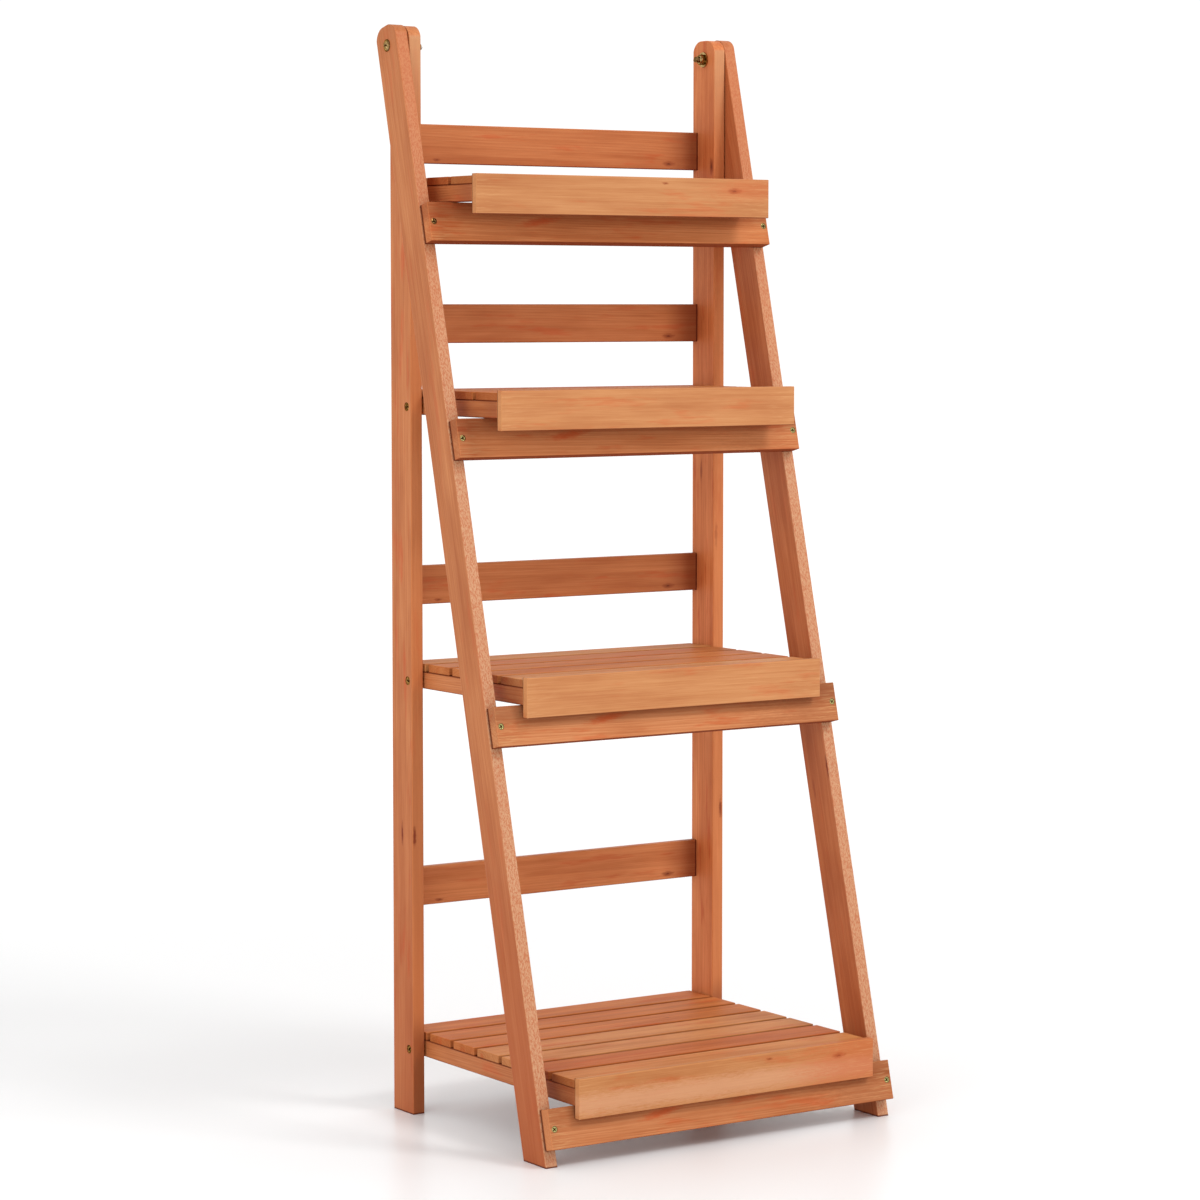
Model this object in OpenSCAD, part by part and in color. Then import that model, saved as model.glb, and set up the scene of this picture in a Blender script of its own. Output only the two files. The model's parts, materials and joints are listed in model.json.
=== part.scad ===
// Folding plant stand of stained softwood boards: four slatted shelves between an upright rear frame
// and a leaning front frame. Millimetres, +Z up, front towards -Y, origin on the floor under the middle.

/* [Frames] */
// Outside width of the rear frame
rear_frame_w = 391; // [340:1:450]
// Height of the rear legs
leg_h = 1113; // [1080:1:1180]
// Width of the leg boards, front to back
leg_w = 39.5; // [34:0.5:46]
// Thickness of the leg boards
leg_t = 13.5; // [12:0.5:18]
// Radius of the two rounded corners at the top of each leg
leg_top_r = 15; // [8:0.5:16]
// Distance from the top of the rear legs down to the pivot bolts
pivot_drop = 20; // [17:0.5:28]
// Radius that eases the edges of every board
edge_r = 1; // [0.5:0.25:2.5]

/* [Back rails] */
// Height of the back rail boards
back_rail_h = 40; // [32:0.5:44]
// Thickness of the back rail boards
back_rail_t = 9; // [7:0.5:11]
// Height of the middle of the first back rail above the first shelf's slat tops
back_rail_1_up = 36; // [30:1:50]
// Height of the middle of the second back rail above the second shelf's slat tops
back_rail_2_up = 67; // [50:0.5:90]
// Height of the middle of the third back rail above the third shelf's slat tops
back_rail_3_up = 78.5; // [60:0.5:130]
// Height of the middle of the fourth back rail above the fourth shelf's slat tops
back_rail_4_up = 147; // [100:1:200]

/* [Front rails] */
// Height of the front rail boards, measured along the legs
front_rail_h = 40; // [34:0.5:43]
// Thickness of the front rail boards
front_rail_t = 14.5; // [12:0.5:18]
// How far the ends of the front rails stop short of the legs' outer faces
front_rail_inset = 1.4; // [0:0.2:3]

/* [Shelves] */
// Distance from the top of the rear legs down to the first shelf's slat tops
shelf_1_drop = 153; // [148:1:173]
// Distance from the top of the rear legs down to the second shelf's slat tops
shelf_2_drop = 367.5; // [353:0.5:383]
// Distance from the top of the rear legs down to the third shelf's slat tops
shelf_3_drop = 647.5; // [623:0.5:673]
// Height of the fourth shelf's slat tops above the floor
shelf_4_z = 84; // [80:1:100]
// Number of slats in the first shelf
shelf_1_slats = 3; // [3:1:4]
// Number of slats in the second shelf
shelf_2_slats = 4; // [4:1:5]
// Number of slats in the third shelf
shelf_3_slats = 5; // [5:1:6]
// Number of slats in the fourth shelf
shelf_4_slats = 7; // [6:1:8]
// Width of a slat, front to back
slat_w = 40; // [36:0.5:44]
// Gap between two slats
slat_gap = 6.1; // [4:0.1:9]
// Thickness of a slat
slat_t = 8.5; // [7:0.5:11]
// Height of the side rails that carry the slats
side_rail_h = 17; // [15:0.5:20]
// Thickness of the side rails
side_rail_t = 13.5; // [11:0.5:18]
// Gap between the side rails and the rear legs
side_gap = 2.4; // [1.5:0.1:5]
// Height of the fascia board at the front of each shelf
fascia_h = 40; // [34:0.5:42]
// Thickness of the fascia board
fascia_t = 9; // [7:0.5:12]
// How far the fascia stands above the slat tops
fascia_rise = 2; // [0:0.5:4]
// Distance from the rear face of the rear legs to the shelf pivots
shelf_pivot_in = 31; // [26:0.5:32]

/* [Pivot bolts] */
// Diameter of the pivot bolts
bolt_d = 6; // [5:0.5:7]
// Diameter of the bolt heads
bolt_head_d = 12.5; // [11:0.5:14]
// Height of the low domed bolt heads
bolt_head_h = 3; // [2.5:0.1:4]
// Length of bolt that stands past the nut
bolt_tail = 5; // [2:0.5:9]
// Outer diameter of the spacer washers between front and rear legs
spacer_d = 18; // [14:0.5:24]
// Thickness of the spacer washers between front and rear legs
spacer_t = 1; // [0.8:0.1:2]
// Outer diameter of the washers under the nuts
washer_d = 16; // [13:0.5:20]
// Thickness of the washers under the nuts
washer_t = 1.5; // [1:0.1:2.5]
// Width across the flats of the nuts
nut_af = 10; // [9:0.5:12]
// Height of the nuts, with their collar
nut_h = 5.5; // [5:0.1:8]

/* [Screws and dowels] */
// Diameter of the shelf pivot screws
shelf_screw_d = 4.5; // [4:0.5:5]
// Head diameter of the shelf pivot screws
shelf_screw_head_d = 9; // [8:0.5:10]
// Depth of the shelf pivot screws in the side rails
shelf_screw_grip = 11; // [7:0.5:11]
// Outer diameter of the washers on the shelf pivot screws
shelf_washer_d = 12; // [9:0.5:14]
// Diameter of the front rail screws
rail_screw_d = 3.5; // [3:0.5:4]
// Head diameter of the front rail screws
rail_screw_head_d = 6.5; // [6:0.5:7.5]
// Depth of the front rail screws in the legs
rail_screw_grip = 18; // [12:0.5:26]
// Height of the straight rim of the countersunk heads
head_lip = 0.5; // [0.3:0.1:0.8]
// Span of the crossed slots as a share of the head diameter
recess_share = 0.5; // [0.4:0.05:0.6]
// Depth of the crossed slots as a share of their span
recess_depth_share = 0.33; // [0.2:0.01:0.35]
// Diameter of the dowels that hold the back rails
dowel_d = 5; // [4:0.5:6]
// Depth of the dowels in the legs
dowel_in_leg = 9; // [6:0.5:11]
// Depth of the dowels in the back rails
dowel_in_rail = 12; // [8:0.5:20]
// Distance between the two dowels at each end of a back rail
dowel_pitch = 20; // [14:0.5:24]

/* [Fits] */
// Radial running clearance of a bolt or screw in the board that turns on it
running_clear = 0.05; // [0.02:0.01:0.1]
// Side clearance between the spacer washers and the front legs
spacer_clear = 0.05; // [0.02:0.01:0.1]
// Gap between a shelf at rest and the front frame
rest_gap = 0.3; // [0.1:0.1:0.6]
// Side clearance of the washers on the shelf pivot screws
washer_clear = 0.2; // [0.1:0.1:0.4]

/* [Hidden] */
$fn = 48;
// Margin by which a cut runs past the surface that it opens
past = 1;

// Shelves from the top one down: slat tops, slat counts and the height of the back rail above each
shelf_top = [leg_h - shelf_1_drop, leg_h - shelf_2_drop, leg_h - shelf_3_drop, shelf_4_z];
slats = [shelf_1_slats, shelf_2_slats, shelf_3_slats, shelf_4_slats];
back_rail_up = [back_rail_1_up, back_rail_2_up, back_rail_3_up, back_rail_4_up];
tiers = [0 : len(slats) - 1];
bottom = len(slats) - 1;
sides = [-1, 1];

// Widths, outwards from the middle
rear_outer_x = rear_frame_w / 2;
rear_inner_x = rear_outer_x - leg_t;
front_inner_x = rear_outer_x + spacer_t;
front_outer_x = front_inner_x + leg_t;
shelf_w = 2 * (rear_inner_x - side_gap);
side_rail_x = shelf_w / 2 - side_rail_t / 2;

// Depth of the slatted part of each shelf
slat_pitch = slat_w + slat_gap;
function deck_depth(tier) = slats[tier] * slat_pitch - slat_gap;

// Heights
pivot_z = leg_h - pivot_drop;
function back_rail_z(tier) = shelf_top[tier] + back_rail_up[tier];
function slat_bottom_z(tier) = shelf_top[tier] - slat_t;
function side_rail_bottom_z(tier) = slat_bottom_z(tier) - side_rail_h;
function shelf_pivot_z(tier) = slat_bottom_z(tier) - side_rail_h / 2;
function fascia_bottom_z(tier) = shelf_top[tier] + fascia_rise - fascia_h;

// The front frame leans forward until a rail meets the fascia that hangs in front of it, on this stand
// the lowest one: the arc of the fascia's lower back edge is then rest_gap off the rail's front face
front_face_reach = leg_w / 2 + front_rail_t;
function fascia_arc_in(tier) = deck_depth(tier) - leg_w / 2 + edge_r;
function fascia_arc_drop(tier) = pivot_z - (fascia_bottom_z(tier) + edge_r);
function lean_limit(tier) = atan2(fascia_arc_in(tier), fascia_arc_drop(tier))
    - asin((front_face_reach + edge_r + rest_gap) / norm([fascia_arc_in(tier), fascia_arc_drop(tier)]));
lean = min([for (tier = tiers) lean_limit(tier)]);

// Depths: the rear faces of the rear legs and of the shelves lie in one plane. The rounded tops of the
// leaning legs reach a little behind it, and the origin is in the middle of the whole depth
top_overhang = leg_top_r - leg_w / 2
    + (leg_w / 2 - leg_top_r) * cos(lean) + (pivot_drop - leg_top_r) * sin(lean);
rear_y = (deck_depth(bottom) + fascia_t - top_overhang) / 2;
rear_leg_y = rear_y - leg_w / 2;
shelf_pivot_y = rear_y - shelf_pivot_in;
function fascia_back_y(tier) = rear_y - deck_depth(tier);

// Each front rail stands under its shelf's side rails, its upper front arc rest_gap below them. The
// distance along the leg runs from the pivot down to the middle of the rail
rail_arc_out = front_face_reach - edge_r;
function rail_arc_drop(tier) = pivot_z - (side_rail_bottom_z(tier) - rest_gap - edge_r);
function front_rail_drop(tier) =
    (rail_arc_drop(tier) + rail_arc_out * sin(lean)) / cos(lean) - edge_r + front_rail_h / 2;
front_leg_below = (pivot_z + leg_w * sin(lean)) / cos(lean);

stain = "#b96a41";
stain_light = "#cf8a5a";
stain_dark = "#a3532f";
zinc = "#b8a25a";
birch = "#d9bf94";

rear_names = ["rear_leg_left", "rear_leg_right"];
front_names = ["front_leg_left", "front_leg_right"];
function back_rail_name(tier) = str("back_rail_", tier + 1);
function front_rail_name(tier) = str("front_rail_", tier + 1);
function fascia_name(tier) = str("shelf_", tier + 1, "_fascia");
function side_rail_name(tier, side) = str("shelf_", tier + 1, "_side_rail_", side < 0 ? "left" : "right");
function slat_name(tier, row) = str("shelf_", tier + 1, "_slat_", row + 1);
function shelf_screw_name(tier) = str("shelf_", tier + 1, "_pivot_screws");

// Rectangle with its corners rounded, centred
module rounded_rectangle(a, b, r) {
    square([a - 2 * r, b], center = true);
    square([a, b - 2 * r], center = true);
    for (x = sides, y = sides)
        translate([x * (a / 2 - r), y * (b / 2 - r)])
            circle(r);
}

// Board along X with its four long edges eased and its ends square, centred
module square_ended_board(size) {
    rotate([90, 0, 90])
        linear_extrude(size[0], center = true)
            rounded_rectangle(size[1], size[2], edge_r);
}

// Board with all twelve edges eased, centred
module eased_board(size) {
    intersection() {
        square_ended_board(size);
        linear_extrude(size[2], center = true)
            rounded_rectangle(size[0], size[1], edge_r);
        rotate([90, 0, 0])
            linear_extrude(size[1], center = true)
                rounded_rectangle(size[0], size[2], edge_r);
    }
}

// Side view of a leg: the two top corners rounded. The pivot is at the origin and the board runs
// down by the given length
module leg_outline(below) {
    top = pivot_drop;
    half = leg_w / 2;
    translate([-half, -below])
        square([leg_w, below + top - leg_top_r]);
    translate([-half + leg_top_r, 0])
        square([leg_w - 2 * leg_top_r, top]);
    for (side = sides)
        translate([side * (half - leg_top_r), top - leg_top_r])
            circle(leg_top_r);
}

// Leg board with its long edges eased, the pivot at the origin and the thickness along X
module leg_board(below) {
    intersection() {
        rotate([90, 0, 90])
            linear_extrude(leg_t, center = true)
                leg_outline(below);
        translate([0, 0, -below])
            linear_extrude(below + pivot_drop)
                rounded_rectangle(leg_t, leg_w, edge_r);
    }
}

// Cylinder along X from x0 to x1
module rod_x(x0, x1, d) {
    translate([min(x0, x1), 0, 0])
        rotate([0, 90, 0])
            cylinder(h = abs(x1 - x0), d = d);
}

// Countersunk screw along -Z with its flat head at z = 0. With extra it gives the hole for the screw
module countersunk(d, head_d, length, extra = 0) {
    head_h = (head_d - d) / 2;
    rotate_extrude()
        polygon([
            [0, extra > 0 ? past : 0],
            [head_d / 2 + extra, extra > 0 ? past : 0],
            [head_d / 2 + extra, -head_lip],
            [d / 2 + extra, -head_lip - head_h],
            [d / 2 + extra, -length - extra],
            [0, -length - extra]]);
}

// Crossed slots of a screw head, cut down from z = 0
module cross_recess(head_d) {
    span = head_d * recess_share;
    width = span / 4;
    depth = span * recess_depth_share;
    for (turn = [0, 90])
        rotate(turn)
            translate([0, 0, -depth / 2 + past / 2])
                cube([span, width, depth + past], center = true);
}

// Places its children on the side of the stand, with +Z pointing outwards along X
module facing_out(side, x, y, z) {
    translate([side * x, y, z])
        rotate([0, side * 90, 0])
            children();
}

// Places its children in the front frame: the pivot at the origin, the legs straight down
module in_front_frame() {
    translate([0, rear_leg_y, pivot_z])
        rotate([-lean, 0, 0])
            children();
}

// Centres of the two dowels at each end of a back rail
module at_dowels(tier, side) {
    for (up = sides)
        translate([
            side * rear_inner_x,
            rear_y - back_rail_t / 2,
            back_rail_z(tier) + up * dowel_pitch / 2])
            children();
}

module dowel(side, extra = 0) {
    rod_x(-side * (dowel_in_rail + extra), side * (dowel_in_leg + extra), dowel_d + 2 * extra);
}

module rear_leg(side) {
    color(stain_dark)
        difference() {
            translate([side * (rear_outer_x - leg_t / 2), rear_leg_y, pivot_z])
                leg_board(pivot_z);
            translate([0, rear_leg_y, pivot_z])
                rod_x(side * (rear_inner_x - past), side * (rear_outer_x + past), bolt_d + 2 * running_clear);
            for (tier = tiers)
                facing_out(side, rear_outer_x, shelf_pivot_y, shelf_pivot_z(tier))
                    shelf_screw_shape(running_clear);
            for (tier = tiers)
                at_dowels(tier, side)
                    dowel(side, running_clear);
        }
}

module back_rail(tier) {
    color(stain)
        difference() {
            translate([0, rear_y - back_rail_t / 2, back_rail_z(tier)])
                square_ended_board([2 * rear_inner_x, back_rail_t, back_rail_h]);
            for (side = sides)
                at_dowels(tier, side)
                    dowel(side, running_clear);
        }
}

module back_rail_dowels() {
    color(birch)
        for (tier = tiers, side = sides)
            at_dowels(tier, side)
                dowel(side);
}

module front_leg(side) {
    color(stain)
        difference() {
            intersection() {
                in_front_frame()
                    translate([side * (front_outer_x - leg_t / 2), 0, 0])
                        leg_board(front_leg_below);
                translate([-rear_frame_w, rear_y - 2 * leg_h, 0])
                    cube([2 * rear_frame_w, 4 * leg_h, 2 * leg_h]);
            }
            in_front_frame()
                rod_x(side * (front_inner_x - past), side * (front_outer_x + past), bolt_d + 2 * running_clear);
            for (tier = tiers)
                at_rail_screw(tier, side)
                    rail_screw_shape(running_clear);
        }
}

module front_rail(tier) {
    color(stain_light)
        difference() {
            in_front_frame()
                translate([0, -leg_w / 2 - front_rail_t / 2, -front_rail_drop(tier)])
                    eased_board([2 * (front_outer_x - front_rail_inset), front_rail_t, front_rail_h]);
            for (side = sides)
                at_rail_screw(tier, side)
                    rail_screw_shape(running_clear);
        }
}

// Front rail screws: one at each end, in the middle of the leg's thickness
module at_rail_screw(tier, side) {
    in_front_frame()
        translate([side * (front_outer_x - leg_t / 2), -front_face_reach, -front_rail_drop(tier)])
            rotate([90, 0, 0])
                children();
}

module rail_screw_shape(extra = 0) {
    countersunk(rail_screw_d, rail_screw_head_d, front_rail_t + rail_screw_grip, extra);
}

module front_rail_screws() {
    color(zinc)
        for (tier = tiers, side = sides)
            at_rail_screw(tier, side)
                difference() {
                    rail_screw_shape();
                    cross_recess(rail_screw_head_d);
                }
}

// Bolt with a low domed head on the outside of the front leg and its nut inside the rear leg
module pivot_bolt(side) {
    nut_outer_x = rear_inner_x - washer_t - nut_h;
    dome_r = (pow(bolt_head_d / 2, 2) + pow(bolt_head_h, 2)) / (2 * bolt_head_h);
    color(zinc)
        translate([0, rear_leg_y, pivot_z]) {
            difference() {
                facing_out(side, front_outer_x, 0, 0)
                    intersection() {
                        cylinder(h = bolt_head_h, d = bolt_head_d);
                        translate([0, 0, bolt_head_h - dome_r])
                            sphere(dome_r);
                    }
                facing_out(side, front_outer_x + bolt_head_h, 0, 0)
                    cross_recess(bolt_head_d);
            }
            rod_x(side * (nut_outer_x - bolt_tail), side * front_outer_x, bolt_d);
        }
}

// Pair of rings round the pivot bolts, the inner faces at x and the given thickness outwards
module pivot_rings(x, thickness, d) {
    for (side = sides)
        translate([0, rear_leg_y, pivot_z])
            difference() {
                rod_x(side * x, side * (x + thickness), d);
                rod_x(side * (x - past), side * (x + thickness + past), bolt_d + 2 * running_clear);
            }
}

module leg_spacer_washers() {
    color(zinc)
        pivot_rings(rear_outer_x, spacer_t - spacer_clear, spacer_d);
}

module pivot_washers() {
    color(zinc)
        pivot_rings(rear_inner_x - washer_t, washer_t, washer_d);
}

// Hexagon nuts with a round collar on the side away from the leg
module pivot_nuts() {
    collar_h = nut_h / 4;
    hexagon_d = nut_af / cos(30);
    color(zinc)
        for (side = sides)
            difference() {
                facing_out(side, rear_inner_x - washer_t - nut_h, rear_leg_y, pivot_z) {
                    translate([0, 0, collar_h])
                        cylinder(h = nut_h - collar_h, d = hexagon_d, $fn = 6);
                    cylinder(h = collar_h, d = nut_af);
                }
                translate([0, rear_leg_y, pivot_z])
                    rod_x(side * (rear_inner_x - washer_t + past), side * (rear_inner_x - washer_t - nut_h - past),
                        bolt_d + 2 * running_clear);
            }
}

// Shelf pivot screws: through the rear legs into the side rails, the heads flush with the legs
module shelf_screw_shape(extra = 0) {
    countersunk(shelf_screw_d, shelf_screw_head_d, leg_t + side_gap + shelf_screw_grip, extra);
}

module shelf_pivot_screws(tier) {
    color(zinc)
        for (side = sides)
            facing_out(side, rear_outer_x, shelf_pivot_y, shelf_pivot_z(tier))
                difference() {
                    shelf_screw_shape();
                    cross_recess(shelf_screw_head_d);
                }
}

module shelf_pivot_washers() {
    color(zinc)
        for (tier = tiers, side = sides)
            translate([0, shelf_pivot_y, shelf_pivot_z(tier)])
                difference() {
                    rod_x(side * (rear_inner_x - side_gap + washer_clear), side * rear_inner_x, shelf_washer_d);
                    rod_x(side * (rear_inner_x - side_gap - past), side * (rear_inner_x + past),
                        shelf_screw_d + 2 * running_clear);
                }
}

module fascia(tier) {
    color(stain_light)
        translate([0, fascia_back_y(tier) - fascia_t / 2, fascia_bottom_z(tier) + fascia_h / 2])
            eased_board([shelf_w, fascia_t, fascia_h]);
}

module side_rail(tier, side) {
    color(stain)
        difference() {
            translate([side * side_rail_x, rear_y - deck_depth(tier) / 2, shelf_pivot_z(tier)])
                eased_board([side_rail_t, deck_depth(tier), side_rail_h]);
            facing_out(side, rear_outer_x, shelf_pivot_y, shelf_pivot_z(tier))
                shelf_screw_shape(running_clear);
        }
}

// Slats are counted from the rear
module slat(tier, row) {
    color(stain)
        translate([0, rear_y - row * slat_pitch - slat_w / 2, shelf_top[tier] - slat_t / 2])
            eased_board([shelf_w, slat_w, slat_t]);
}

rear_leg(-1);  // rear_leg_left
rear_leg(1);  // rear_leg_right
for (tier = tiers) back_rail(tier);
back_rail_dowels();
front_leg(-1);  // front_leg_left
front_leg(1);  // front_leg_right
for (tier = tiers) front_rail(tier);
front_rail_screws();
pivot_bolt(-1);  // pivot_bolt_left
pivot_bolt(1);  // pivot_bolt_right
leg_spacer_washers();
pivot_washers();
pivot_nuts();
shelf_pivot_washers();
for (tier = tiers) fascia(tier);
for (tier = tiers, side = sides)
    side_rail(tier, side);
for (tier = tiers, row = [0 : slats[tier] - 1])
    slat(tier, row);
for (tier = tiers) shelf_pivot_screws(tier);
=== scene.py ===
# %% [markdown]
# # A folding plant stand of stained fir
# The stand has an upright rear frame, a leaning front frame and four slatted shelves that flip up. Its
# boards come from the CAD model, already cut, eased and drilled, so Blender's work is the wood itself, the
# plated screws, bolts and nuts, and the light. Everything is in metres and stands where the CAD puts it.

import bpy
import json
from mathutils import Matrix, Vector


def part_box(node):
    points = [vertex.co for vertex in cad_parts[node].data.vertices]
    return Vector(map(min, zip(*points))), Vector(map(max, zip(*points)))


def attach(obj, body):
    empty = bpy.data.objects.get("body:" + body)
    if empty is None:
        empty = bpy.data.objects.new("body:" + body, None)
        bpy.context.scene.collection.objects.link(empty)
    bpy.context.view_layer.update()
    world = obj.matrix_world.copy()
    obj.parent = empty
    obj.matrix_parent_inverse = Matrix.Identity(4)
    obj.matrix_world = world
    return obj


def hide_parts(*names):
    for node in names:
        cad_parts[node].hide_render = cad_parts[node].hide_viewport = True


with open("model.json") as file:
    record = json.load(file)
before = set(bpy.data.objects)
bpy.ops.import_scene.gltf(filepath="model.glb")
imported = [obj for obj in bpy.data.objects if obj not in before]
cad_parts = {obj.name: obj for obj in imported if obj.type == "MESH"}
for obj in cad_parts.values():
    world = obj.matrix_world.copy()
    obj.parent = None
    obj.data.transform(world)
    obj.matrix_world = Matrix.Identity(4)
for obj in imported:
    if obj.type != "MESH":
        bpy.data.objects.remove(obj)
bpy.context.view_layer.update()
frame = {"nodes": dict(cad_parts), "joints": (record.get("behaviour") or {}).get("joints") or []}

# %% Tools for the lesson
import json
import math

import bmesh
import bpy
from mathutils import Matrix, Vector

scene = bpy.context.scene
MM = 0.001

# %% [markdown]
# ## Materials as arithmetic
# A material is a tree of nodes, and most of them only add, multiply or fade a value. These short functions
# make each of them in one line. A node group is such a tree with named inputs and outputs: it is built once
# and placed in many materials, each time with its own values.

# %% Helpers for nodes
FLOAT, VECTOR, COLOUR = "NodeSocketFloat", "NodeSocketVector", "NodeSocketColor"
GEOMETRY, OBJECT, MATERIAL = "NodeSocketGeometry", "NodeSocketObject", "NodeSocketMaterial"


def add_node(tree, kind, inputs=None, **settings):
    """A new node. Where an input's value is a socket it is linked, and any other value is set."""
    node = tree.nodes.new(kind)
    for name, value in settings.items():
        setattr(node, name, value)
    for name, value in (inputs or {}).items():
        if isinstance(value, bpy.types.NodeSocket):
            tree.links.new(value, node.inputs[name])
        else:
            node.inputs[name].default_value = value
    return node


def calc(tree, operation, *values):
    return add_node(tree, "ShaderNodeMath", dict(enumerate(values)), operation=operation).outputs[0]


def vector_calc(tree, operation, *values):
    node = add_node(tree, "ShaderNodeVectorMath", dict(enumerate(values)), operation=operation)
    return node.outputs["Value" if operation == "LENGTH" else "Vector"]


def axes_of(tree, vector):
    return add_node(tree, "ShaderNodeSeparateXYZ", {0: vector}).outputs


def fade(tree, value, low, high, to_low=0.0, to_high=1.0):
    """A soft step: to_low where the value is at or under low, to_high where it is at or over high."""
    return add_node(tree, "ShaderNodeMapRange", {
        "Value": value, "From Min": low, "From Max": high, "To Min": to_low, "To Max": to_high,
    }, interpolation_type="SMOOTHSTEP").outputs["Result"]


def stretched_noise(tree, place, stretch, detail=2.0, roughness=0.5):
    """Noise from 0 to 1; stretch says how many of its lumps a unit of length holds along each axis."""
    scaled = vector_calc(tree, "MULTIPLY", place, stretch)
    return add_node(tree, "ShaderNodeTexNoise", {
        "Vector": scaled, "Scale": 1.0, "Detail": detail, "Roughness": roughness}).outputs["Fac"]


def mix_colour(tree, share, a, b, blend="MIX"):
    """Colour a with a share of colour b. Sockets 6 and 7 are those that a Mix node shows for colours."""
    mix = add_node(tree, "ShaderNodeMix", {0: share, 6: a, 7: b}, data_type="RGBA", blend_type=blend)
    return mix.outputs[2]


def new_group(name, inputs, outputs, kind="ShaderNodeTree"):
    group = bpy.data.node_groups.new(name, kind)
    for label, socket_kind, default in inputs:
        socket = group.interface.new_socket(label, in_out="INPUT", socket_type=socket_kind)
        if default is not None:
            socket.default_value = default
    for label, socket_kind in outputs:
        group.interface.new_socket(label, in_out="OUTPUT", socket_type=socket_kind)
    return group, group.nodes.new("NodeGroupInput").outputs, group.nodes.new("NodeGroupOutput").inputs


def new_material(name):
    material = bpy.data.materials.new(name)
    material.use_nodes = True
    return material, material.node_tree, material.node_tree.nodes["Principled BSDF"]


print("node helpers ready")

# %% [markdown]
# ## The camera
# A product photographer stands well back with a long lens, so that the uprights stay almost parallel. The
# camera looks down by a few degrees and its sensor is shifted a little, which keeps the verticals straight.
# The shift stays small because other views of the stand keep it.

# %% The camera
CAMERA_PLACE = (-2.08694, -3.05417, 0.83254)
CAMERA_TILT, CAMERA_HEADING = 4.276, -33.745
LENS, SENSOR_WIDTH, SENSOR_SHIFT = 109.079, 36, -0.02
camera = bpy.data.objects.new("camera", bpy.data.cameras.new("camera"))
scene.collection.objects.link(camera)
camera.location = CAMERA_PLACE
camera.rotation_euler = (math.radians(90 - CAMERA_TILT), 0, math.radians(CAMERA_HEADING))
camera.data.lens = LENS
camera.data.sensor_width = SENSOR_WIDTH
camera.data.shift_y = SENSOR_SHIFT
scene.camera = camera
print("camera at", tuple(camera.location), "with a lens of", camera.data.lens, "mm")

# %% [markdown]
# ## The studio
# The stand is photographed on a pale, faintly glossy floor in a white room. A product photographer lights the
# background apart from the object and overexposes it, so that no horizon shows. Here the far floor glows a
# little, more with distance, and the sky looks brighter to the camera than it lights. There is no back wall,
# so the stand can be seen from every side. A large softbox above and in front gives the boards their direction
# of light, and a weaker one fills the shaded side.

# %% The floor
FLOOR_RADIUS, FLOOR_CORNERS = 80.0, 64
GLOW_FROM, GLOW_FULL, GLOW = 0.8, 3.5, 0.17
disc = bmesh.new()
bmesh.ops.create_circle(disc, cap_ends=True, radius=FLOOR_RADIUS, segments=FLOOR_CORNERS)
floor_mesh = bpy.data.meshes.new("floor")
disc.to_mesh(floor_mesh)
disc.free()
floor = bpy.data.objects.new("floor", floor_mesh)
scene.collection.objects.link(floor)
paper, tree, shader = new_material("white_paper")
shader.inputs["Base Color"].default_value = (0.93, 0.93, 0.93, 1)
shader.inputs["Roughness"].default_value = 0.32
shader.inputs["Specular IOR Level"].default_value = 0.35
shader.inputs["Emission Color"].default_value = (1, 1, 1, 1)
from_middle = vector_calc(tree, "LENGTH", add_node(tree, "ShaderNodeTexCoord").outputs["Object"])
tree.links.new(fade(tree, from_middle, GLOW_FROM, GLOW_FULL, 0.0, GLOW), shader.inputs["Emission Strength"])
floor_mesh.materials.append(paper)
print("floor of radius", FLOOR_RADIUS, "m")

# %% Sky and softboxes
SKY_LIGHT, SKY_SEEN = 0.95, 1.05
sky = bpy.data.worlds.new("white_sky")
sky.use_nodes = True
backdrop = sky.node_tree.nodes["Background"].inputs
backdrop["Color"].default_value = (1, 1, 1, 1)
seen_by_camera = add_node(sky.node_tree, "ShaderNodeLightPath").outputs["Is Camera Ray"]
brightness = add_node(sky.node_tree, "ShaderNodeMapRange", {
    "Value": seen_by_camera, "To Min": SKY_LIGHT, "To Max": SKY_SEEN})
sky.node_tree.links.new(brightness.outputs["Result"], backdrop["Strength"])
scene.world = sky
scene.view_settings.view_transform = "Standard"


def softbox(name, place, aim, size, power):
    light = bpy.data.objects.new(name, bpy.data.lights.new(name, "AREA"))
    light.data.shape = "RECTANGLE"
    light.data.size, light.data.size_y = size
    light.data.energy = power
    light.location = place
    light.rotation_euler = (Vector(aim) - Vector(place)).to_track_quat("-Z", "Y").to_euler()
    scene.collection.objects.link(light)
    print(name, "of", power, "W at", place)


softbox("key_softbox", (1.5, -2.6, 3.3), (0, 0, 0.5), (1.1, 1.1), 54)
softbox("fill_softbox", (-3.4, -1.4, 1.6), (0, 0, 0.6), (2.0, 2.0), 20)

# %% [markdown]
# ## Fir under an orange-brown stain
# A fir board is a slice through a log. Each year adds a pale soft band and a thin dark one, and the slice
# cuts those rings into the long lines that we call grain. So the wood here is made the way it grows: the
# distance from the heart of the log, measured across the board, gives the year rings, and slow noise that is
# stretched along the board makes them wander. A pattern painted on a flat face couldn't do this, because the
# same ring has to turn the corner on to the edge and the end of the board.
#
# The pattern is a node group, because every board uses it with its own seed, tone and place in the log. It
# works in millimetres, so a stretch of 0.03 makes lumps about 30 mm long.

# %% The grain group
TO_MM = (1000, 1000, 1000)
LOG_STEP = (913, 127, 331)
KNOT_RING, KNOT_CORE = (0.33, 0.080, 0.027, 1), (0.12, 0.026, 0.010, 1)


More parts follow.
